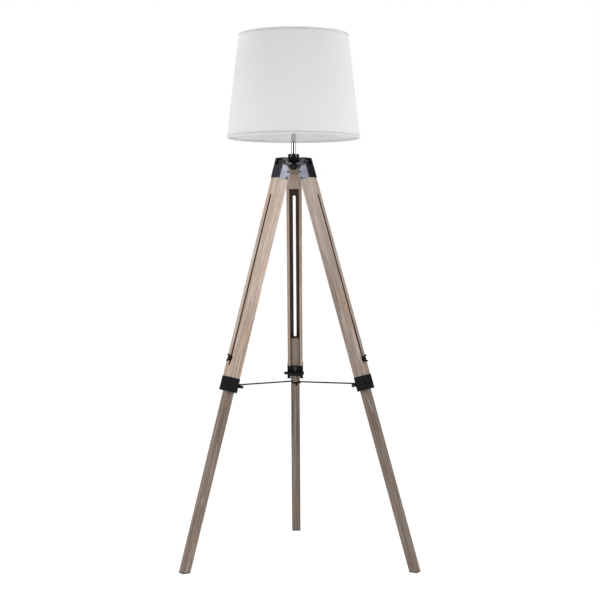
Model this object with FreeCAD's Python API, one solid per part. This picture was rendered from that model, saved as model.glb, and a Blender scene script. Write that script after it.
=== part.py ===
import FreeCAD, Part
import math
import os

# Tripod floor lamp: telescopic timber legs on a metal hub, a chrome stem and a tapered fabric shade.
# Millimetres, +Z up, floor at z = 0. The stem axis is x = y = 0 until everything is shifted at the end.

V = FreeCAD.Vector
UP = V(0, 0, 1)

# Each leg: name, azimuth of its foot seen from above, angle between leg and vertical (degrees).
LEGS = [("left", 211.3, 15.8), ("right", 332.2, 17.0), ("rear", 88.5, 16.3)]

# How much further down its leg each sleeve sits than the nominal level.
SLEEVE_DROP = {"left": 3.5, "right": 3.5, "rear": -3.5}

# Hinge between hub and leg: distance from the stem axis and height above the floor.
PIVOT_R = 40.0
PIVOT_Z = 1133.0
HINGE_BOLT_R = 3.5
RUN_GAP = 0.05
SIDE_GAP = 0.2

# Upper leg, a timber channel. Leg coordinates have their origin on the hinge axis:
# x out of the leg's outer face, y along the hinge, z up the leg.
LEG_W = 44.0
LEG_OUT = 9.0
LEG_IN = -23.0
LEG_TOP = -12.0
LEG_END = -658.0
CHANNEL_W = 28.0
CHANNEL_FLOOR = 3.0
CHANNEL_TOP = -71.0
SLOT_W = 8.0
SLOT_TOP = -97.0
SLOT_END = -593.5

# The inner top corner of the leg and its cap is cut away, so that the leg can fold under the hub.
CORNER_START = (-9.0, -10.8)
CORNER_SLOPE = 1.25

# Lower leg, sliding in the channel.
LOWER_W = 26.0
LOWER_OUT = 2.5
LOWER_IN = -20.5
LOWER_LENGTH = 647.0
PAD_H = 3.0
WING_FROM_TOP = 45.0
WING_BOLT_R = 3.0

# Cap over the top of the upper leg.
CAP_SHEET = 1.2
CAP_END = -49.0
KNUCKLE_R = 7.0
KNUCKLE_HALF = 12.8
SCREW_LEVELS = [-26.0, -43.0]
SCREW_IN = -16.0
SCREW_R = 1.8
SCREW_HEAD_R = 3.6

# Sleeve at the foot of the upper leg, with the cross bolt that also carries the spreader rod.
SLEEVE_TOP = -621.0
SLEEVE_END = -661.0
SLEEVE_WALL = 1.5
MOUTH_H = 8.0
CROSS_X = -30.0
CROSS_Z = -641.0
CROSS_R = 2.5
LUG_R = 4.3
EYE_HALF = 4.0
EYE_R = 4.8
KNOB_R = 4.3
KNOB_LENGTH = 9.5

# Spreader: three rods that meet beside each other at a small disc.
ROD_R = 2.0
ROD_RISE = 3.4
ROD_SHORT = 10.5
ROD_OFFSET = 7.5
DISC_R = 13.0
DISC_H = 2.5
DISC_GAP = 0.6

# Hub.
HUB_BOTTOM = 1124.0
DISC_TOP = 1131.0
HUB_TOP = 1145.0
HUB_DISC_R = 30.0
FORK_HALF = 22.0
FORK_FLOOR = 31.5
NOTCH_HALF = 13.0
NOTCH_TOP = 1141.0

# Ring nut, stem and lampholder.
RING_R = 16.0
RING_H = 25.0
STEM_R = 6.4
STEM_BORE = 5.0
STEM_TOP = 1228.0
CORD_R = 3.2
HOLDER_R = 19.5
HOLDER_BASE = 1245.0
HOLDER_TOP = 1280.0

# Shade.
SHADE_BOTTOM = 1200.0
SHADE_TOP = 1493.0
SHADE_R_BOTTOM = 190.0
SHADE_R_TOP = 156.0
CLOTH = 0.8
HEM = 0.6
HEM_H = 4.0
WIRE = 3.0


def box(x0, x1, y0, y1, z0, z1):
    return Part.makeBox(x1 - x0, y1 - y0, z1 - z0, V(x0, y0, z0))


def cyl(r, z0, z1):
    return Part.makeCylinder(r, z1 - z0, V(0, 0, z0), UP)


def across(r, y0, y1, x=0.0, z=0.0):
    """Cylinder along y."""
    return Part.makeCylinder(r, y1 - y0, V(x, y0, z), V(0, 1, 0))


def prism(points, y0, y1):
    """Closed outline in the xz plane, drawn from y0 to y1."""
    wire = Part.makePolygon([V(x, y0, z) for x, z in points + points[:1]])
    return Part.Face(wire).extrude(V(0, y1 - y0, 0))


def turned(points):
    """Closed outline in the xz plane, turned about the z axis."""
    wire = Part.makePolygon([V(x, 0, z) for x, z in points + points[:1]])
    return Part.Face(wire).revolve(V(0, 0, 0), UP, 360)


def round_edges(shape, radius, wanted):
    """Fillet the straight edges for which wanted(edge) is true."""
    edges = [e for e in shape.Edges if wanted(e)]
    return shape.makeFillet(radius, edges)


def along_z(edge):
    a, b = edge.Vertexes[0].Point, edge.Vertexes[-1].Point
    return abs(a.x - b.x) < 1e-6 and abs(a.y - b.y) < 1e-6 and abs(a.z - b.z) > 1


def rod_between(a, b, r):
    return Part.makeCylinder(r, (b - a).Length, a, b - a)


def leg_place(azimuth, splay):
    """Leg coordinates to the lamp's own."""
    lean = FreeCAD.Rotation(V(0, 1, 0), -splay)
    turn = FreeCAD.Rotation(UP, azimuth)
    hinge = turn.multVec(V(PIVOT_R, 0, PIVOT_Z))
    return FreeCAD.Placement(hinge, turn.multiply(lean))


def moved(shape, place):
    out = shape.copy()
    out.transformShape(place.toMatrix())
    return out


# ---------------------------------------------------------------- one leg, in leg coordinates

def screw_spots():
    return [(side, level) for side in (-1, 1) for level in SCREW_LEVELS]


def screw_shank(side, level):
    depth = 9.0
    start = LEG_W / 2 + CAP_SHEET if side > 0 else -LEG_W / 2 - CAP_SHEET
    return Part.makeCylinder(SCREW_R, depth + CAP_SHEET, V(SCREW_IN, start, level), V(0, -side, 0))


def cut_corner(body):
    x, z = CORNER_START
    corner = [(x + 2, z + 2 * CORNER_SLOPE), (x - 20, z - 20 * CORNER_SLOPE),
              (x - 40, z - 20), (x - 40, z + 5)]
    return body.cut(prism(corner, -40, 40))


def upper_leg(drop):
    body = box(LEG_IN, LEG_OUT, -LEG_W / 2, LEG_W / 2, LEG_END - drop, LEG_TOP)
    body = cut_corner(round_edges(body, 2.0, along_z))
    channel = box(LEG_IN - 1, CHANNEL_FLOOR, -CHANNEL_W / 2, CHANNEL_W / 2, LEG_END - drop - 1, CHANNEL_TOP)
    half = SLOT_W / 2
    slot = box(CHANNEL_FLOOR - 1, LEG_OUT + 1, -half, half, SLOT_END + half, SLOT_TOP - half)
    for z in (SLOT_TOP - half, SLOT_END + half):
        end = Part.makeCylinder(half, LEG_OUT - CHANNEL_FLOOR + 2, V(CHANNEL_FLOOR - 1, 0, z), V(1, 0, 0))
        slot = slot.fuse(end)
    body = body.cut(channel).cut(slot)
    for side, level in screw_spots():
        body = body.cut(screw_shank(side, level))
    return body


def leg_cap():
    """Folded sheet over the outer face and both sides, with the hinge knuckle on its top."""
    s = CAP_SHEET
    half = LEG_W / 2
    outer = box(LEG_IN + 1, LEG_OUT + s, -half - s, half + s, CAP_END, LEG_TOP + s)
    outer = round_edges(outer, 2.0 + s, lambda e: along_z(e) and e.Vertexes[0].X > 0)
    inner = box(LEG_IN - 5, LEG_OUT, -half, half, CAP_END - 1, LEG_TOP)
    inner = round_edges(inner, 2.0, lambda e: along_z(e) and e.Vertexes[0].X > 0)
    cap = cut_corner(outer.cut(inner))
    for side, level in screw_spots():
        cap = cap.cut(screw_shank(side, level))
    web = box(-6, 6, -KNUCKLE_HALF, KNUCKLE_HALF, LEG_TOP + s, 0)
    knuckle = across(KNUCKLE_R, -KNUCKLE_HALF, KNUCKLE_HALF).fuse(web)
    knuckle = knuckle.cut(across(HINGE_BOLT_R + RUN_GAP, -30, 30))
    return cap.fuse(knuckle).removeSplitter()


def cap_screws():
    screws = []
    for side, level in screw_spots():
        face = side * (LEG_W / 2 + CAP_SHEET)
        ball_r = 5.0
        rise = 1.7
        centre = V(SCREW_IN, face + side * (rise - ball_r), level)
        head = Part.makeSphere(ball_r, centre)
        head = head.common(Part.makeCylinder(SCREW_HEAD_R, 4, V(SCREW_IN, face, level), V(0, side, 0)))
        drive = Part.makeCylinder(1.1, 2, V(SCREW_IN, face + side * 0.7, level), V(0, side, 0))
        screws.append(head.fuse(screw_shank(side, level)).cut(drive).removeSplitter())
    return screws


def hinge_bolt():
    bolt = across(HINGE_BOLT_R, -FORK_HALF, FORK_HALF + 3.5)
    head = across(6.0, -FORK_HALF - 2.8, -FORK_HALF)
    drive = across(2.0, -FORK_HALF - 3, -FORK_HALF - 1.2)
    return bolt.fuse(head).cut(drive).removeSplitter()


def hexagon(r, y0, y1):
    points = [(r * math.cos(math.radians(a)), r * math.sin(math.radians(a))) for a in range(0, 360, 60)]
    return prism(points, y0, y1)


def hinge_nut():
    return hexagon(6.2, FORK_HALF, FORK_HALF + 3.2).cut(across(HINGE_BOLT_R, 0, 40))


def sleeve():
    w = SLEEVE_WALL
    half = LEG_W / 2
    shell = box(LEG_IN - w, LEG_OUT + w, -half - w, half + w, SLEEVE_END, SLEEVE_TOP)
    shell = round_edges(shell, 2.0 + w, along_z)
    core = round_edges(box(LEG_IN, LEG_OUT, -half, half, LEG_END, SLEEVE_TOP + 1), 2.0, along_z)
    for side in (-1, 1):
        y0, y1 = sorted((side * (EYE_HALF + 0.3), side * (half + w)))
        lug = across(LUG_R, y0, y1, CROSS_X, CROSS_Z)
        neck = box(CROSS_X, LEG_IN, y0, y1, CROSS_Z - LUG_R, CROSS_Z + LUG_R)
        shell = shell.fuse(lug).fuse(neck)
    side = CHANNEL_W / 2
    passage = box(LEG_IN - 20, CHANNEL_FLOOR, -side, side, SLEEVE_END - 1, LEG_END + 1)
    mouth = box(LEG_IN - 20, LEG_IN + 1, -side, side, SLEEVE_END - 1, SLEEVE_END + MOUTH_H)
    # Room for the rod's eye, and for the rod once it is folded up against the leg.
    eye = EYE_HALF + 0.3
    window = box(LEG_IN - 20, LEG_IN + 1, -eye, eye, CROSS_Z - EYE_R - 0.5, CROSS_Z + 16)
    shell = shell.cut(core).cut(passage).cut(mouth).cut(window)
    return shell.cut(across(CROSS_R, -40, 40, CROSS_X, CROSS_Z)).removeSplitter()


def cross_bolt():
    edge = LEG_W / 2 + SLEEVE_WALL
    head = across(5.0, -edge - 3.2, -edge, CROSS_X, CROSS_Z)
    rim = [e for e in head.Edges if len(e.Vertexes) == 1 and e.Vertexes[0].Y < -edge - 1]
    head = head.makeFillet(1.2, rim)
    drive = across(1.8, -edge - 4, -edge - 1.8, CROSS_X, CROSS_Z)
    shank = across(CROSS_R, -edge, edge + KNOB_LENGTH - 2, CROSS_X, CROSS_Z)
    return head.fuse(shank).cut(drive).removeSplitter()


def cross_knob():
    edge = LEG_W / 2 + SLEEVE_WALL + 0.15
    knob = across(KNOB_R, edge, edge + KNOB_LENGTH, CROSS_X, CROSS_Z)
    rim = [e for e in knob.Edges if len(e.Vertexes) == 1 and e.Vertexes[0].Y > edge + 1]
    knob = knob.makeFillet(1.4, rim)
    for a in range(0, 360, 45):
        x = CROSS_X + (KNOB_R + 0.7) * math.cos(math.radians(a))
        z = CROSS_Z + (KNOB_R + 0.7) * math.sin(math.radians(a))
        knob = knob.cut(across(1.2, edge + 2.0, edge + KNOB_LENGTH + 1, x, z))
    return knob.cut(across(CROSS_R + RUN_GAP, edge - 1, edge + KNOB_LENGTH - 1.8, CROSS_X, CROSS_Z))


def lower_top(splay):
    """How far along the leg the lower leg starts, so that its foot stands on the floor."""
    middle = (LOWER_OUT + LOWER_IN) / 2
    to_floor = (PIVOT_Z + middle * math.sin(math.radians(splay))) / math.cos(math.radians(splay))
    return LOWER_LENGTH - to_floor


def lower_leg(top):
    body = box(LOWER_IN, LOWER_OUT, -LOWER_W / 2, LOWER_W / 2, -1250, top)
    body = round_edges(body, 1.5, along_z)
    return body.cut(wing_hole(top))


def wing_hole(top):
    """Blind hole from the outer face, for the wood screw end of the hanger bolt."""
    return Part.makeCylinder(WING_BOLT_R, 30, V(LOWER_IN + 5, 0, top - WING_FROM_TOP), V(1, 0, 0))


def wing_bolt(top):
    z = top - WING_FROM_TOP
    return Part.makeCylinder(WING_BOLT_R, LEG_OUT + 7.4 - LOWER_IN - 5, V(LOWER_IN + 5, 0, z), V(1, 0, 0))


def wing_washer(top):
    z = top - WING_FROM_TOP
    outer = Part.makeCylinder(8.5, 1.4, V(LEG_OUT + 0.1, 0, z), V(1, 0, 0))
    return outer.cut(Part.makeCylinder(WING_BOLT_R, 5, V(LEG_OUT, 0, z), V(1, 0, 0)))


def wing_nut(top):
    z = top - WING_FROM_TOP
    base = LEG_OUT + 1.6
    nut = Part.makeCone(5.6, 4.4, 6.5, V(base, 0, z), V(1, 0, 0))
    for side in (-1, 1):
        outline = [(base + 1.0, z + side * 2.5), (base + 3.8, z + side * 8.2), (base + 8.6, z + side * 10.4),
                   (base + 11.8, z + side * 9.8), (base + 11.4, z + side * 7.0), (base + 6.0, z + side * 2.8)]
        nut = nut.fuse(prism(outline, -1.3, 1.3))
    bore = Part.makeCylinder(WING_BOLT_R + RUN_GAP, 30, V(LEG_OUT, 0, z), V(1, 0, 0))
    return nut.cut(bore).removeSplitter()


# ---------------------------------------------------------------- spreader

def cross_point(name, azimuth, splay):
    return leg_place(azimuth, splay).multVec(V(CROSS_X, 0, CROSS_Z - SLEEVE_DROP[name]))


def circle_centre(a, b, c):
    """Centre of the circle through three points, seen from above, at their mean height."""
    d = 2 * (a.x * (b.y - c.y) + b.x * (c.y - a.y) + c.x * (a.y - b.y))
    sa, sb, sc = [p.x ** 2 + p.y ** 2 for p in (a, b, c)]
    x = (sa * (b.y - c.y) + sb * (c.y - a.y) + sc * (a.y - b.y)) / d
    y = (sa * (c.x - b.x) + sb * (a.x - c.x) + sc * (b.x - a.x)) / d
    return V(x, y, (a.z + b.z + c.z) / 3)


def spreader_rod(bolt, centre, azimuth):
    """Straight rod that leaves the top of an eye round the cross bolt and stops beside the centre."""
    inward = V(centre.x - bolt.x, centre.y - bolt.y, 0).normalize()
    aside = UP.cross(inward)
    tip = centre - inward * ROD_SHORT + aside * ROD_OFFSET
    axis = FreeCAD.Rotation(UP, azimuth).multVec(V(0, 1, 0))
    eye = Part.makeCylinder(EYE_R, 2 * EYE_HALF, bolt - axis * EYE_HALF, axis)
    bore = Part.makeCylinder(CROSS_R + RUN_GAP, 40, bolt - axis * 20, axis)
    rod = rod_between(bolt + UP * ROD_RISE, tip, ROD_R).fuse(Part.makeSphere(ROD_R + 0.3, tip))
    return rod.fuse(eye).cut(bore).removeSplitter()


def disc_top(centre):
    return centre.z - ROD_R - 0.3 - DISC_GAP


def spreader_disc(centre):
    top = disc_top(centre)
    disc = Part.makeCylinder(DISC_R, DISC_H, V(centre.x, centre.y, top - DISC_H), UP)
    hole = Part.makeCylinder(1.8, 9, V(centre.x, centre.y, top - 5), UP)
    return disc.makeFillet(0.8, disc.Edges[:1]).cut(hole)


def spreader_nut(centre):
    """Centre screw with a domed head between the rods and a cap nut under the disc."""
    top = disc_top(centre)
    screw = Part.makeCylinder(1.8, DISC_H, V(centre.x, centre.y, top - DISC_H), UP)
    ball = Part.makeSphere(4.2, V(centre.x, centre.y, top - 2.4))
    head = ball.common(Part.makeCylinder(4.5, 3, V(centre.x, centre.y, top), UP))
    low = V(centre.x, centre.y, top - DISC_H - 4.5)
    nut = Part.makeCylinder(3.4, 4.5, low, UP).fuse(Part.makeSphere(3.2, low))
    return screw.fuse(head).fuse(nut).removeSplitter()


# ---------------------------------------------------------------- hub, stem, lampholder

def plan(points, z0, z1):
    """Closed outline seen from above, from z0 to z1."""
    wire = Part.makePolygon([V(x, y, z0) for x, y in points + points[:1]])
    return Part.Face(wire).extrude(V(0, 0, z1 - z0))


def fork():
    """One arm of the hub, along +x: a floor, two ears flush with the cap's outer face, and a roof."""
    outline = [(29, HUB_BOTTOM), (PIVOT_R + 5, HUB_BOTTOM), (PIVOT_R + 11.8, HUB_BOTTOM + 2.4),
               (PIVOT_R + 6, HUB_TOP), (29, HUB_TOP)]
    ears = prism(outline, -FORK_HALF, FORK_HALF).cut(box(0, 90, -NOTCH_HALF, NOTCH_HALF, 1100, 1160))
    ears = ears.common(plan([(30, -12), (33.5, -23), (60, -23), (60, 23), (33.5, 23), (30, 12)], 1100, 1160))
    cover = [(20, -8), (33, -22), (PIVOT_R + 6, -22), (PIVOT_R + 6, 22), (33, 22), (20, 8)]
    roof = plan(cover, NOTCH_TOP, HUB_TOP)
    floor = box(15, FORK_FLOOR, -FORK_HALF, FORK_HALF, HUB_BOTTOM, DISC_TOP)
    link = box(29, FORK_FLOOR + 3, NOTCH_HALF, FORK_HALF, HUB_BOTTOM, DISC_TOP)
    arm = ears.fuse(roof).fuse(floor).fuse(link).fuse(link.mirror(V(0, 0, 0), V(0, 1, 0)))
    return arm.cut(across(HINGE_BOLT_R + 0.03, -30, 30, PIVOT_R, PIVOT_Z))


def hub():
    body = cyl(HUB_DISC_R, HUB_BOTTOM, DISC_TOP)
    for name, azimuth, splay in LEGS:
        arm = fork()
        arm.rotate(V(0, 0, 0), UP, azimuth)
        body = body.fuse(arm)
    return body.cut(cyl(STEM_BORE, 1100, 1160)).removeSplitter()


def ring_nut():
    top = DISC_TOP + RING_H
    gap = 0.15
    outline = [(STEM_R + RUN_GAP, DISC_TOP + gap), (RING_R - 0.8, DISC_TOP + gap), (RING_R, DISC_TOP + 1.5),
               (RING_R, DISC_TOP + 9), (RING_R - 1.4, DISC_TOP + 10.5), (RING_R - 1.4, DISC_TOP + 12),
               (RING_R, DISC_TOP + 13.5), (RING_R, top - 0.8), (RING_R - 0.8, top), (STEM_R + RUN_GAP, top)]
    nut = turned(outline).cut(cyl(11.5, top - 5, top + 1))
    for a in range(0, 360, 30):
        notch = box(8, 20, -1.9, 1.9, top - 5, top + 1)
        flute = Part.makeCylinder(1.4, 12, V(RING_R + 0.5, 0, DISC_TOP - 2), UP)
        for tool in (notch, flute):
            tool.rotate(V(0, 0, 0), UP, a)
            nut = nut.cut(tool)
    return nut


def nipple():
    return cyl(STEM_BORE, 1114, 1146).cut(cyl(CORD_R + 0.6, 1100, 1150))


def under_nut():
    outline = [(STEM_BORE, 1114), (10.7, 1114), (17.4, HUB_BOTTOM - 1), (17.4, HUB_BOTTOM),
               (STEM_BORE, HUB_BOTTOM)]
    return turned(outline)


def cord_bush():
    outline = [(CORD_R, 1111.5), (6.2, 1111.5), (7.2, 1112.5), (7.2, 1114), (CORD_R + 0.6, 1114),
               (CORD_R + 0.6, 1127.5), (CORD_R, 1127.5)]
    return turned(outline)


def stem():
    return cyl(STEM_R, DISC_TOP, STEM_TOP).cut(cyl(STEM_BORE, 1100, STEM_TOP + 1))


def holder_cap():
    outline = [(STEM_R + 0.03, 1216), (9, 1216), (9, 1226), (HOLDER_R - 1.5, 1233), (HOLDER_R, 1236),
               (HOLDER_R, HOLDER_BASE), (HOLDER_R - 2, HOLDER_BASE), (HOLDER_R - 2, 1237), (8, 1229),
               (STEM_BORE, 1229), (STEM_BORE, STEM_TOP), (STEM_R + 0.03, STEM_TOP)]
    return turned(outline)


def holder_body():
    outline = [(15, HOLDER_BASE), (HOLDER_R, HOLDER_BASE), (HOLDER_R, 1252), (23, 1252), (23, 1255),
               (HOLDER_R, 1255), (HOLDER_R, HOLDER_TOP), (15, HOLDER_TOP)]
    return turned(outline)


def holder_contact():
    return cyl(14.95, HOLDER_BASE, HOLDER_BASE + 5).fuse(cyl(3.5, HOLDER_BASE + 5, HOLDER_BASE + 8))


def shade_nut():
    nut = turned([(HOLDER_R, 1258.2), (26, 1258.2), (26, 1264), (25, 1265), (HOLDER_R, 1265)])
    for a in range(0, 360, 20):
        rib = Part.makeCylinder(1.5, 10, V(26.6, 0, 1257), UP)
        rib.rotate(V(0, 0, 0), UP, a)
        nut = nut.cut(rib)
    return nut


def bulb_base():
    outline = [(0, 1253), (4, 1253), (8, 1256), (12.6, 1258), (12.6, 1259.5)]
    for z in range(1260, 1278, 4):
        outline += [(13.3, z + 1.0), (12.4, z + 3.0)]
    outline += [(13.0, 1280), (13.6, 1282), (0, 1282)]
    return turned(outline)


def bulb_glass():
    centre = 1327.0
    radius = 30.0
    neck = [(0, 1282), (13.4, 1282), (14.2, 1290), (17.5, 1299)]
    start = math.degrees(math.asin((1306 - centre) / radius))
    steps = 16
    for i in range(steps + 1):
        a = math.radians(start + (90 - start) * i / steps)
        neck.append((radius * math.cos(a) if i < steps else 0, centre + radius * math.sin(a)))
    return turned(neck)


# ---------------------------------------------------------------- shade

def shade_r(z):
    share = (z - SHADE_BOTTOM) / (SHADE_TOP - SHADE_BOTTOM)
    return SHADE_R_BOTTOM - HEM + (SHADE_R_TOP - SHADE_R_BOTTOM) * share


def shade_band(z0, z1, outside, inside):
    """Tapered band between two offsets from the cloth's outer face; positive is outwards."""
    return turned([(shade_r(z0) + inside, z0), (shade_r(z0) + outside, z0),
                   (shade_r(z1) + outside, z1), (shade_r(z1) + inside, z1)])


def shade_parts():
    lo, hi = SHADE_BOTTOM, SHADE_TOP
    cloth = shade_band(lo + HEM, hi - HEM, 0, -CLOTH)
    low_ring = shade_band(lo + HEM, lo + HEM + WIRE, -CLOTH, -CLOTH - WIRE)
    top_ring = shade_band(hi - HEM - WIRE, hi - HEM, -CLOTH, -CLOTH - WIRE)
    low_hem = shade_band(lo, lo + HEM_H, HEM, -CLOTH - WIRE).cut(shade_band(lo + HEM, lo + HEM_H + 1, 0, -9))
    top_hem = shade_band(hi - HEM_H, hi, HEM, -CLOTH - WIRE).cut(shade_band(hi - HEM_H - 1, hi - HEM, 0, -9))
    return cloth, low_ring, top_ring, low_hem, top_hem


def shade_carrier(low_ring):
    """Flat ring round the lampholder and three wires down to the shade's lower ring."""
    plate = cyl(26, 1255.2, 1258).cut(cyl(HOLDER_R + 0.3, 1200, 1300))
    low = SHADE_BOTTOM + HEM + WIRE / 2
    reach = shade_r(low) - CLOTH - WIRE / 2
    for a in (30, 150, 270):
        c, s = math.cos(math.radians(a)), math.sin(math.radians(a))
        wire = rod_between(V(24 * c, 24 * s, 1256.6), V(reach * c, reach * s, low), 1.5)
        plate = plate.fuse(wire)
    keep = cyl(reach + 10, 1200, 1258).cut(cyl(HOLDER_R + 0.3, 1190, 1300))
    return plate.common(keep).cut(low_ring).removeSplitter()


# ---------------------------------------------------------------- everything together

def build():
    nodes = {}
    crossings = {name: cross_point(name, azimuth, splay) for name, azimuth, splay in LEGS}
    middle = circle_centre(*crossings.values())
    floor = Part.makeBox(3000, 3000, 400, V(-1500, -1500, -400))
    pad_layer = Part.makeBox(3000, 3000, PAD_H, V(-1500, -1500, 0))
    for name, azimuth, splay in LEGS:
        place = leg_place(azimuth, splay)
        drop = SLEEVE_DROP[name]
        at_sleeve = place.multiply(FreeCAD.Placement(V(0, 0, -drop), FreeCAD.Rotation()))
        top = lower_top(splay)
        whole = moved(lower_leg(top), place).cut(floor)
        nodes["upper_leg_" + name] = moved(upper_leg(drop), place)
        nodes["leg_cap_" + name] = moved(leg_cap(), place)
        nodes["cap_screws_" + name] = moved(Part.makeCompound(cap_screws()), place)
        nodes["hinge_bolt_" + name] = moved(Part.makeCompound([hinge_bolt(), hinge_nut()]), place)
        nodes["sleeve_" + name] = moved(sleeve(), at_sleeve)
        nodes["cross_bolt_" + name] = moved(cross_bolt(), at_sleeve)
        nodes["cross_knob_" + name] = moved(cross_knob(), at_sleeve)
        nodes["lower_leg_" + name] = whole.cut(pad_layer)
        nodes["foot_pad_" + name] = whole.common(pad_layer)
        nodes["wing_bolt_" + name] = moved(wing_bolt(top), place)
        nodes["wing_washer_" + name] = moved(wing_washer(top), place)
        nodes["wing_nut_" + name] = moved(wing_nut(top), place)
        nodes["spreader_rod_" + name] = spreader_rod(crossings[name], middle, azimuth)
    nodes["spreader_disc"] = spreader_disc(middle)
    nodes["spreader_nut"] = spreader_nut(middle)
    nodes["hub"] = hub()
    nodes["ring_nut"] = ring_nut()
    nodes["stem_nipple"] = nipple()
    nodes["under_nut"] = under_nut()
    nodes["cord_bush"] = cord_bush()
    nodes["stem"] = stem()
    nodes["holder_cap"] = holder_cap()
    nodes["holder_body"] = holder_body()
    nodes["holder_contact"] = holder_contact()
    nodes["bulb_base"] = bulb_base()
    nodes["bulb_glass"] = bulb_glass()
    cloth, low_ring, top_ring, low_hem, top_hem = shade_parts()
    nodes["shade_nut"] = shade_nut()
    nodes["shade_carrier"] = shade_carrier(low_ring)
    nodes["shade_cloth"] = cloth
    nodes["shade_ring_lower"] = low_ring
    nodes["shade_ring_upper"] = top_ring
    nodes["shade_hem_lower"] = low_hem
    nodes["shade_hem_upper"] = top_hem
    return nodes


def footprint_centre(nodes):
    """Middle of the lamp's outline seen from above; it becomes the origin."""
    boxes = [shape.optimalBoundingBox(False) for shape in nodes.values()]
    x = (min(b.XMin for b in boxes) + max(b.XMax for b in boxes)) / 2
    y = (min(b.YMin for b in boxes) + max(b.YMax for b in boxes)) / 2
    return V(x, y, 0)


os.makedirs("parts", exist_ok=True)
nodes = build()
shift = footprint_centre(nodes) * -1
for name, shape in nodes.items():
    shape.translate(shift)
    shape.exportStep("parts/" + name + ".step")
print("origin moved by", round(shift.x, 3), round(shift.y, 3))
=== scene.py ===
import math

import bmesh
import bpy
from mathutils import Euler, Matrix, Vector


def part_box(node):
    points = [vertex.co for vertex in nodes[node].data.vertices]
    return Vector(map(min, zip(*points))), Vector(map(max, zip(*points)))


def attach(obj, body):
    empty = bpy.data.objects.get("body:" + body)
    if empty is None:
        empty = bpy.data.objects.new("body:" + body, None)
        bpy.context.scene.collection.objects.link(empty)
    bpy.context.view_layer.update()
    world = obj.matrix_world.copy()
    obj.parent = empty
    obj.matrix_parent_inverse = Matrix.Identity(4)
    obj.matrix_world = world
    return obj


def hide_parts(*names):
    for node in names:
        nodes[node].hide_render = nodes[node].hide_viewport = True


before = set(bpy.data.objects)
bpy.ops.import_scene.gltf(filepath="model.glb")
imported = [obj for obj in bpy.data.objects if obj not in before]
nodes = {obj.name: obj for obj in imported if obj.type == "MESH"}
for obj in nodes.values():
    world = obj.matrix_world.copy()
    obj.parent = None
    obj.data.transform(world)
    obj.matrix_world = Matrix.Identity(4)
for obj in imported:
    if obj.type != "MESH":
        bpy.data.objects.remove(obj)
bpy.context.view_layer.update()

# The stem stands upright, and its axis passes through the middle of its box.
stem_low, stem_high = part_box("stem")
AXIS = Vector(((stem_low.x + stem_high.x) / 2, (stem_low.y + stem_high.y) / 2, 0))
# The hinge of each leg: its distance from the stem axis and its height.
PIVOT_R = 0.040
PIVOT_Z = 1.133
# Each leg's azimuth and splay in degrees.
LEGS = {"left": (211.3, 15.8), "right": (332.2, 17.0), "rear": (88.5, 16.3)}
# How light each leg's timber is, its upper leg then its lower leg: partly the timber's own tone, partly
# painted light and shade, each leg lighter or darker as the light falls on it, the lower legs darker in
# shade.
LEG_TONE_AND_SHADE = {"left": (1.52, 0.84), "right": (1.02, 0.70), "rear": (1.04, 0.60)}
# Between these two heights the timber turns pinker and lighter: a pink cast and painted light.
HEAD_LIGHTENING_FROM = 0.45
HEAD_LIGHTENING_TO = 1.12
# Timber colours: pink-beige with painted light near the head of a leg, where the wash wore thin, where it
# pooled, and the pores.
HEAD_PINK_AND_HIGHLIGHT = (0.600, 0.500, 0.445)
WORN_ORANGE = (0.430, 0.275, 0.180)
WASH_WHITE = (0.600, 0.560, 0.530)
PORE_BROWN = (0.115, 0.082, 0.062)
# What the channel keeps of the washed colour: bare timber, darkened further as painted shade in the recess.
CHANNEL_BARE_AND_SHADED = (0.30, 0.22, 0.18)
# The space of an upper leg with bare timber and painted shade, in leg coordinates. It reaches just past the
# channel's side walls and its top end, and stops just short of the leg's outer face, so the walls of the slot
# are in it too.
CHANNEL_HALF = 0.0142
CHANNEL_OUT = 0.0088
CHANNEL_TOP = -0.0709

# The shade: heights of its rims and outer radii of its cloth there.
SHADE_LOW = 1.200
SHADE_HIGH = 1.493
R_LOW = 0.1894
R_HIGH = 0.1554
# The cloth: its thickness, how far it stops short of the rims under the hems, and the radius that its
# weave is laid out on.
CLOTH_THICK = 0.0007
CLOTH_INSET = 0.0008
WEAVE_R = 0.173
# A hem's section: its height, half its thickness, and how far its middle lies inside the cloth's face.
HEM_H = 0.0048
HEM_HALF = 0.0024
HEM_INSET = 0.0018
# Segments of the meshes: round the shade, up the cloth, and round a hem's section.
SEGMENTS_ROUND = 192
CLOTH_ROWS = 24
HEM_STEPS = 28

# The studio. Places are measured from the foot of the stem axis, angles are in degrees and the lens is in
# millimetres. The floor glows, because the lamp throws no visible shadow on it.
CAMERA_PLACE = (-0.0115, -3.862, 0.919)
CAMERA_TILT = 90 - 2.64
CAMERA_TURN = -0.44
CAMERA_LENS = 81.24
CARD_BLACK = (0.01, 0.01, 0.01)
FLOOR_GREY = (0.22, 0.22, 0.22)
FLOOR_GLOW = 0.93
FLOOR_HALF = 40
# How bright the white air is as a light on the lamp, and as the background.
AIR_AS_LIGHT = 0.42
AIR_AS_BACKGROUND = 1.0


# ---------------------------------------------------------------- node helpers

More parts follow.
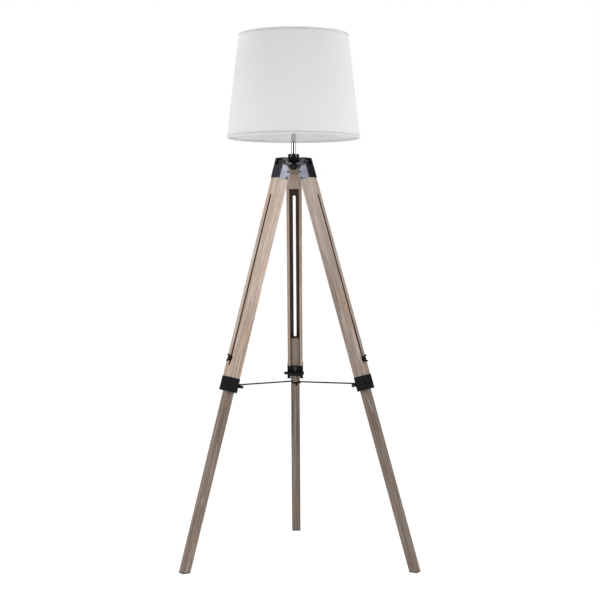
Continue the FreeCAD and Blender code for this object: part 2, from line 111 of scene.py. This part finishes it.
class Graph:
    """A material's node tree with its Principled shader ready to use."""

    def __init__(self, name):
        self.material = bpy.data.materials.new(name)
        self.material.use_nodes = True
        self.tree = self.material.node_tree
        self.tree.nodes.clear()
        self.shader = self.tree.nodes.new("ShaderNodeBsdfPrincipled")
        output = self.tree.nodes.new("ShaderNodeOutputMaterial")
        self.tree.links.new(self.shader.outputs[0], output.inputs[0])

    def set(self, **sockets):
        """Values or links for the shader's sockets; an underscore stands for a space."""
        for name, value in sockets.items():
            self.feed(self.shader.inputs[name.replace("_", " ")], value)

    def feed(self, socket, value):
        if isinstance(value, bpy.types.NodeSocket):
            self.tree.links.new(value, socket)
        else:
            socket.default_value = value

    def node(self, kind, inputs=(), output=0, **settings):
        made = self.tree.nodes.new("ShaderNode" + kind)
        for name, value in settings.items():
            setattr(made, name, value)
        for key, value in dict(inputs).items():
            self.feed(made.inputs[key], value)
        return made.outputs[output]

    def math(self, operation, a, b=0.0):
        return self.node("Math", {0: a, 1: b}, operation=operation)

    def vector_math(self, operation, a, b):
        return self.node("VectorMath", {0: a, 1: b}, operation=operation)

    def place(self):
        return self.node("TexCoord", output="Object")

    def noise(self, vector, scale, detail=4.0, roughness=0.55, distortion=0.0):
        return self.node("TexNoise", {"Vector": vector, "Scale": scale, "Detail": detail,
                                      "Roughness": roughness, "Distortion": distortion})

    def stretched(self, vector, across, along):
        """A place scaled for a pattern with its own scale across and along the leg or stem."""
        return self.vector_math("MULTIPLY", vector, (across, across, along))

    def ramp(self, value, *stops, smooth=False):
        made = self.tree.nodes.new("ShaderNodeValToRGB")
        made.color_ramp.interpolation = "EASE" if smooth else "LINEAR"
        elements = made.color_ramp.elements
        while len(elements) < len(stops):
            elements.new(0.5)
        for element, (position, colour) in zip(elements, stops):
            element.position = position
            element.color = (colour,) * 3 + (1,) if isinstance(colour, float) else (*colour, 1)
        self.feed(made.inputs[0], value)
        return made.outputs[0]

    def mix(self, factor, a, b, blend="MIX"):
        made = self.tree.nodes.new("ShaderNodeMix")
        made.data_type = "RGBA"
        made.blend_type = blend
        self.feed(made.inputs["Factor"], factor)
        self.feed(made.inputs["A"], a if isinstance(a, bpy.types.NodeSocket) else (*a, 1))
        self.feed(made.inputs["B"], b if isinstance(b, bpy.types.NodeSocket) else (*b, 1))
        return made.outputs["Result"]

    def bump(self, height, distance, strength):
        return self.node("Bump", {"Height": height, "Distance": distance, "Strength": strength})


def dress(material, *names):
    """Gives a material to the CAD nodes whose names start with one of these."""
    for name, obj in nodes.items():
        if name.startswith(names):
            obj.data.materials.clear()
            obj.data.materials.append(material)


# ---------------------------------------------------------------- materials

def leg_matrix(azimuth, splay):
    """Turn and offset into leg coordinates: x out of the outer face, y along the hinge, z up the leg."""
    about = Matrix.Rotation(math.radians(azimuth), 3, "Z")
    turn = (about @ Matrix.Rotation(-math.radians(splay), 3, "Y")).transposed()
    hinge = AXIS + about @ Vector((PIVOT_R, 0, 0)) + Vector((0, 0, PIVOT_Z))
    return turn, -(turn @ hinge)


def grey_washed_wood(name, azimuth, splay, seed, light, channel=False):
    """Open-grain timber with a worn grey-white wash, its grain running down the leg."""
    g = Graph(name)
    turn, offset = leg_matrix(azimuth, splay)
    in_leg = g.node("Mapping", {"Vector": g.place(), "Rotation": turn.to_euler("XYZ"), "Location": offset})
    # Each board is cut from its own place in the pattern.
    place = g.vector_math("ADD", in_leg, (seed * 0.37, seed * 0.21, seed * 1.3))
    sway = g.noise(g.stretched(place, 22.0, 1.6), 1.0, 3.0, 0.5)
    # Growth rings, seen as long bands that wander along the board.
    rings = g.node("TexWave", {"Vector": g.stretched(place, 1.0, 0.035),
                               "Scale": 62.0, "Distortion": 5.5, "Detail": 3.0, "Detail Scale": 1.4,
                               "Detail Roughness": 0.6},
                   output="Fac", wave_type="RINGS", rings_direction="Z", wave_profile="SIN")
    fibre = g.noise(g.stretched(place, 520.0, 9.0), 1.0, 5.0, 0.62)
    streak = g.noise(g.stretched(place, 130.0, 3.2), 1.0, 6.0, 0.6, 0.3)
    pores = g.ramp(g.noise(g.stretched(place, 900.0, 38.0), 1.0, 2.0, 0.5),
                   (0.60, 0.0), (0.70, 1.0))
    bands = g.ramp(rings, (0.05, (0.150, 0.108, 0.080)), (0.45, (0.255, 0.194, 0.152)),
                   (0.95, (0.350, 0.278, 0.226)))
    fine = g.ramp(fibre, (0.30, (0.185, 0.136, 0.104)), (0.70, (0.370, 0.302, 0.252)))
    colour = g.mix(0.5, bands, fine)
    tone = g.ramp(streak, (0.34, (0.095, 0.062, 0.042)), (0.52, (0.280, 0.212, 0.166)),
                  (0.70, (0.560, 0.480, 0.425)))
    colour = g.mix(0.55, colour, tone)
    # Towards the head the timber turns pink-beige and lighter: a pink cast of the wash, and painted light.
    height = g.node("SeparateXYZ", {0: g.place()}, output="Z")
    head = g.node("MapRange", {"Value": height, "From Min": HEAD_LIGHTENING_FROM, "From Max": HEAD_LIGHTENING_TO, "To Max": 0.85})
    patch = g.ramp(sway, (0.35, 0.35), (0.68, 1.0), smooth=True)
    colour = g.mix(g.math("MULTIPLY", head, g.math("MULTIPLY", patch, 0.8)), colour, HEAD_PINK_AND_HIGHLIGHT)
    # Where the wash wore thin the timber shows through orange-brown; where it pooled it is nearly white.
    thin = g.ramp(g.noise(g.stretched(place, 58.0, 9.0), 1.0, 5.0, 0.65),
                  (0.50, 0.0), (0.66, 0.50), smooth=True)
    colour = g.mix(thin, colour, WORN_ORANGE)
    pooled = g.ramp(g.noise(g.stretched(place, 95.0, 7.0), 1.0, 5.0, 0.7),
                    (0.52, 0.0), (0.70, 0.60), smooth=True)
    colour = g.mix(pooled, colour, WASH_WHITE)
    colour = g.mix(g.math("MULTIPLY", pores, 0.45), colour, PORE_BROWN)
    # The leg's tone, which also holds painted light and shade.
    colour = g.mix(1.0, colour, (light, light, light), "MULTIPLY")
    if channel:
        # Inside the channel and the slot the timber is dark brown: bare of the wash, and painted shade in the
        # recess.
        x, y, z = (g.node("SeparateXYZ", {0: in_leg}, output=axis) for axis in "XYZ")
        inward = g.math("MULTIPLY", g.math("LESS_THAN", x, CHANNEL_OUT), g.math("LESS_THAN", z, CHANNEL_TOP))
        inside = g.math("MULTIPLY", g.math("LESS_THAN", g.math("ABSOLUTE", y), CHANNEL_HALF), inward)
        colour = g.mix(inside, colour, g.mix(1.0, colour, CHANNEL_BARE_AND_SHADED, "MULTIPLY"))
    g.set(Base_Color=colour)
    g.set(Roughness=g.ramp(fibre, (0.3, 0.52), (0.7, 0.74)), Specular_IOR_Level=0.35)
    ridges = g.math("ADD", g.math("MULTIPLY", fibre, 0.55), g.math("MULTIPLY", rings, 0.25))
    relief = g.math("SUBTRACT", ridges, g.math("MULTIPLY", pores, 0.5))
    g.set(Normal=g.bump(relief, 0.0006, 0.55))
    return g.material


def plated_metal(name, colour, roughness, wear):
    """Dark bright plating with faint polishing marks and small dull patches."""
    g = Graph(name)
    place = g.place()
    marks = g.noise(g.stretched(place, 90.0, 1400.0), 1.0, 3.0)
    cloud = g.noise(place, 55.0, 4.0, 0.6)
    dull = tuple(c * 0.78 for c in colour)
    g.set(Base_Color=g.mix(g.ramp(cloud, (0.3, 0.0), (0.75, 1.0)), colour, dull))
    rough = g.math("ADD", g.math("MULTIPLY", marks, wear), g.math("MULTIPLY", cloud, wear))
    g.set(Metallic=1.0, Roughness=g.math("ADD", rough, roughness))
    g.set(Normal=g.bump(g.math("ADD", marks, cloud), 0.00012, 0.18))
    return g.material


def painted(name, colour, roughness, grain, depth=0.0001, coat=0.0, gloss=0.5):
    """Moulded plastic or enamel: a fine surface grain, slight colour drift and scuffs."""
    g = Graph(name)
    place = g.place()
    fine = g.noise(place, grain, 3.0, 0.6)
    drift = g.noise(place, 38.0, 4.0, 0.6)
    scuff = g.ramp(g.noise(g.vector_math("MULTIPLY", place, (70.0, 210.0, 70.0)), 1.0, 5.0, 0.7),
                   (0.58, 0.0), (0.72, 1.0))
    light = tuple(min(1.0, c * 1.3 + 0.002) for c in colour)
    worn = tuple(min(1.0, c * 1.5 + 0.008) for c in colour)
    base = g.mix(g.ramp(drift, (0.35, 0.0), (0.75, 1.0)), colour, light)
    g.set(Base_Color=g.mix(g.math("MULTIPLY", scuff, 0.22), base, worn))
    rough = g.math("ADD", g.math("MULTIPLY", fine, 0.14), g.math("MULTIPLY", scuff, 0.12))
    g.set(Roughness=g.math("ADD", rough, roughness), Specular_IOR_Level=gloss)
    g.set(Coat_Weight=coat, Coat_Roughness=0.15)
    g.set(Normal=g.bump(fine, depth, 0.35))
    return g.material


def chrome_plate():
    """Bright plating with a faint haze."""
    g = Graph("chrome_plate")
    place = g.place()
    haze = g.noise(g.stretched(place, 160.0, 20.0), 1.0, 4.0)
    g.set(Base_Color=g.mix(haze, (0.48, 0.48, 0.50), (0.40, 0.40, 0.42)), Metallic=1.0)
    g.set(Roughness=g.ramp(haze, (0.3, 0.035), (0.8, 0.10)))
    return g.material


def woven_shade(name, colour, thread, slub):
    """Plain-weave cotton round the stem axis: threads, slubs and slight drift in tone."""
    g = Graph(name)
    centred = g.vector_math("SUBTRACT", g.place(), tuple(AXIS))
    split = g.tree.nodes.new("ShaderNodeSeparateXYZ")
    g.feed(split.inputs[0], centred)
    turn = g.math("ARCTAN2", split.outputs[1], split.outputs[0])
    along = g.math("MULTIPLY", turn, WEAVE_R)
    up = split.outputs[2]
    warp = g.math("SINE", g.math("MULTIPLY", along, 2 * math.pi / thread))
    weft = g.math("SINE", g.math("MULTIPLY", up, 2 * math.pi / thread))
    weave = g.math("MULTIPLY", warp, weft)
    across = g.node("CombineXYZ", {0: g.math("MULTIPLY", along, 60.0), 1: g.math("MULTIPLY", up, 900.0)})
    down = g.node("CombineXYZ", {0: g.math("MULTIPLY", along, 900.0), 1: g.math("MULTIPLY", up, 60.0)})
    weft_slub = g.noise(across, 1.0, 3.0, 0.6)
    warp_slub = g.noise(down, 1.0, 3.0, 0.6)
    slubs = g.math("ADD", weft_slub, warp_slub)
    drift = g.noise(centred, 5.0, 3.0)
    deep = tuple(c * 0.93 for c in colour)
    tone = g.mix(g.ramp(slubs, (0.75, 0.0), (1.25, 1.0)), deep, colour)
    g.set(Base_Color=g.mix(g.math("MULTIPLY", drift, 0.18), tone, tuple(c * 0.96 for c in colour)))
    g.set(Roughness=0.92, Sheen_Weight=0.2, Sheen_Roughness=0.5, Specular_IOR_Level=0.2)
    g.set(Subsurface_Weight=0.8, Subsurface_Scale=0.010, Subsurface_Radius=(1.0, 1.0, 1.0))
    relief = g.math("ADD", g.math("MULTIPLY", weave, 0.4), g.math("MULTIPLY", slubs, slub))
    g.set(Normal=g.bump(relief, 0.00035, 0.5))
    return g.material


for seed, (leg, (azimuth, splay)) in enumerate(LEGS.items(), start=1):
    upper, lower = LEG_TONE_AND_SHADE[leg]
    dress(grey_washed_wood("washed_wood_upper_" + leg, azimuth, splay, seed, upper, True), "upper_leg_" + leg)
    dress(grey_washed_wood("washed_wood_lower_" + leg, azimuth, splay, seed + 5, lower), "lower_leg_" + leg)
dress(plated_metal("black_nickel_sheet", (0.070, 0.071, 0.086), 0.15, 0.10), "leg_cap")
dress(plated_metal("black_nickel_cast", (0.035, 0.035, 0.040), 0.20, 0.16), "hub", "under_nut")
dress(plated_metal("blackened_bolts", (0.05, 0.05, 0.056), 0.28, 0.14),
      "hinge_bolt", "cross_bolt", "wing_bolt")
dress(plated_metal("blued_screws", (0.12, 0.125, 0.15), 0.22, 0.14), "cap_screws")
dress(chrome_plate(), "stem")
dress(plated_metal("zinc_plate", (0.62, 0.61, 0.58), 0.25, 0.18), "stem_nipple", "bulb_base")
dress(painted("black_moulding", (0.004, 0.004, 0.0045), 0.30, 900.0, gloss=0.10), "sleeve", "cord_bush")
dress(painted("black_knurl", (0.008, 0.008, 0.009), 0.28, 700.0, gloss=0.2), "ring_nut", "cross_knob")
dress(painted("black_oxide", (0.006, 0.006, 0.007), 0.26, 1200.0, gloss=0.2), "wing_nut", "wing_washer")
dress(painted("foot_rubber", (0.020, 0.019, 0.018), 0.68, 500.0, 0.0002), "foot_pad")
dress(painted("black_enamel", (0.003, 0.003, 0.0035), 0.22, 600.0, 0.00005, gloss=0.08), "spreader")
dress(painted("white_moulding", (0.78, 0.78, 0.76), 0.38, 800.0), "holder_cap", "holder_body", "shade_nut")
dress(painted("white_ceramic", (0.80, 0.78, 0.72), 0.20, 500.0, 0.00005, 0.3), "holder_contact")
dress(painted("white_wire_coat", (0.80, 0.80, 0.79), 0.34, 700.0), "shade_carrier", "shade_ring")
dress(painted("opal_glass", (0.88, 0.88, 0.86), 0.12, 90.0, 0.00002, 0.6), "bulb_glass")


# ---------------------------------------------------------------- shade

def shade_radius(z):
    """Outer radius of the cloth at a height."""
    return R_LOW + (R_HIGH - R_LOW) * (z - SHADE_LOW) / (SHADE_HIGH - SHADE_LOW)


def ring_skin(bm, profile):
    """Skin turned round the stem axis through (radius, height) points; the last joins the first."""
    loops = []
    for segment in range(SEGMENTS_ROUND):
        a = 2 * math.pi * segment / SEGMENTS_ROUND
        direction = Vector((math.cos(a), math.sin(a), 0))
        loops.append([bm.verts.new(AXIS + direction * r + Vector((0, 0, z))) for r, z in profile])
    count = len(profile)
    for segment in range(SEGMENTS_ROUND):
        here, there = loops[segment], loops[(segment + 1) % SEGMENTS_ROUND]
        for i in range(count):
            j = (i + 1) % count
            bm.faces.new((here[i], there[i], there[j], here[j]))


def shade_piece(name, profile, material, node):
    """Piece turned round the stem axis, which stands for one node of the shade."""
    mesh = bpy.data.meshes.new(name)
    bm = bmesh.new()
    ring_skin(bm, profile)
    bmesh.ops.recalc_face_normals(bm, faces=bm.faces)
    bm.to_mesh(mesh)
    bm.free()
    mesh.materials.append(material)
    for polygon in mesh.polygons:
        polygon.use_smooth = True
    piece = bpy.data.objects.new(name, mesh)
    bpy.context.scene.collection.objects.link(piece)
    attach(piece, "stand")
    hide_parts(node)
    return piece


def cloth_profile():
    """Section of the cloth: up its outer face, down its inner face."""
    low, high = SHADE_LOW + CLOTH_INSET, SHADE_HIGH - CLOTH_INSET
    heights = [low + (high - low) * i / CLOTH_ROWS for i in range(CLOTH_ROWS + 1)]
    outer = [(shade_radius(z), z) for z in heights]
    inner = [(shade_radius(z) - CLOTH_THICK, z) for z in reversed(heights)]
    return outer + inner


def hem_profile(low, high):
    """Section of the tape folded over a rim, a rounded oblong wrapped round the wire ring within."""
    middle, half = (low + high) / 2, (high - low) / 2
    points = []
    for step in range(HEM_STEPS):
        a = 2 * math.pi * step / HEM_STEPS
        z = middle + half * math.copysign(abs(math.sin(a)) ** 0.6, math.sin(a))
        centre = shade_radius(z) - HEM_INSET
        points.append((centre + HEM_HALF * math.copysign(abs(math.cos(a)) ** 0.7, math.cos(a)), z))
    return points


cloth_material = woven_shade("shade_cotton", (0.78, 0.78, 0.77), 0.0011, 0.8)
hem_material = woven_shade("hem_tape", (0.64, 0.64, 0.625), 0.0008, 0.5)
cloth = shade_piece("shade_fabric", cloth_profile(), cloth_material, "shade_cloth")
hem_low = shade_piece("shade_hem_tape_lower", hem_profile(SHADE_LOW, SHADE_LOW + HEM_H),
                      hem_material, "shade_hem_lower")
hem_high = shade_piece("shade_hem_tape_upper", hem_profile(SHADE_HIGH - HEM_H, SHADE_HIGH),
                       hem_material, "shade_hem_upper")


# ---------------------------------------------------------------- studio

def area_light(name, place, target, size, power):
    """Soft light of a given width and height, aimed at a point; the power is in watts."""
    data = bpy.data.lights.new(name, "AREA")
    data.shape = "RECTANGLE"
    data.size, data.size_y = size
    data.energy = power
    light = bpy.data.objects.new(name, data)
    light.location = AXIS + Vector(place)
    light.rotation_euler = (Vector(target) - Vector(place)).to_track_quat("-Z", "Y").to_euler()
    bpy.context.scene.collection.objects.link(light)


def card(name, place, target, size):
    """A plain dark studio card beside the camera's view: it shades the lamp and shows in its reflections."""
    mesh = bpy.data.meshes.new(name)
    w, h = size[0] / 2, size[1] / 2
    mesh.from_pydata([(-w, -h, 0), (w, -h, 0), (w, h, 0), (-w, h, 0)], [], [(0, 1, 2, 3)])
    g = Graph(name)
    g.set(Base_Color=(*CARD_BLACK, 1), Roughness=0.9)
    mesh.materials.append(g.material)
    piece = bpy.data.objects.new(name, mesh)
    piece.location = AXIS + Vector(place)
    piece.rotation_euler = (Vector(target) - Vector(place)).to_track_quat("Z", "Y").to_euler()
    piece.visible_camera = False
    bpy.context.scene.collection.objects.link(piece)


edge = FLOOR_HALF
floor_mesh = bpy.data.meshes.new("studio_floor")
floor_mesh.from_pydata([(-edge, -edge, 0), (edge, -edge, 0), (edge, edge, 0), (-edge, edge, 0)],
                       [], [(0, 1, 2, 3)])
floor = bpy.data.objects.new("studio_floor", floor_mesh)
floor_paint = Graph("floor_paint")
floor_paint.set(Base_Color=(*FLOOR_GREY, 1), Roughness=0.9, Specular_IOR_Level=0.0,
                Emission_Color=(1, 1, 1, 1), Emission_Strength=FLOOR_GLOW)
floor_mesh.materials.append(floor_paint.material)
bpy.context.scene.collection.objects.link(floor)

# The air is white behind the lamp and dimmer where it lights it.
world = bpy.data.worlds.new("studio_air")
world.use_nodes = True
air = world.node_tree.nodes["Background"]
air.inputs[0].default_value = (1, 1, 1, 1)
path = world.node_tree.nodes.new("ShaderNodeLightPath")
level = world.node_tree.nodes.new("ShaderNodeMapRange")
level.inputs["To Min"].default_value = AIR_AS_LIGHT
level.inputs["To Max"].default_value = AIR_AS_BACKGROUND
world.node_tree.links.new(path.outputs["Is Camera Ray"], level.inputs["Value"])
world.node_tree.links.new(level.outputs[0], air.inputs[1])
bpy.context.scene.world = world

area_light("softbox_right", (2.80, -1.35, 1.75), (0, 0, 1.0), (0.9, 1.5), 44)
area_light("softbox_left", (-2.60, -1.40, 1.6), (0, 0, 1.0), (1.1, 1.5), 35)
area_light("overhead", (0, -0.4, 3.2), (0, 0, 0.6), (1.8, 1.8), 20)

card("dark_card_left", (-3.6, 0.6, 0.9), (0, 0, 0.9), (2.2, 2.6))
card("dark_card_right", (3.2, 1.5, 1.7), (0, 0, 1.1), (2.6, 3.2))
card("dark_card_camera", (0.0, -4.6, 1.4), (0, 0, 1.2), (6.0, 3.0))

bpy.context.scene.view_settings.view_transform = "Standard"

camera_data = bpy.data.cameras.new("camera")
camera_data.sensor_width = 36.0
camera_data.lens = CAMERA_LENS
camera_data.clip_end = 200.0
camera = bpy.data.objects.new("camera", camera_data)
camera.location = AXIS + Vector(CAMERA_PLACE)
camera.rotation_euler = Euler((math.radians(CAMERA_TILT), 0, math.radians(CAMERA_TURN)))
bpy.context.scene.collection.objects.link(camera)
bpy.context.scene.camera = camera
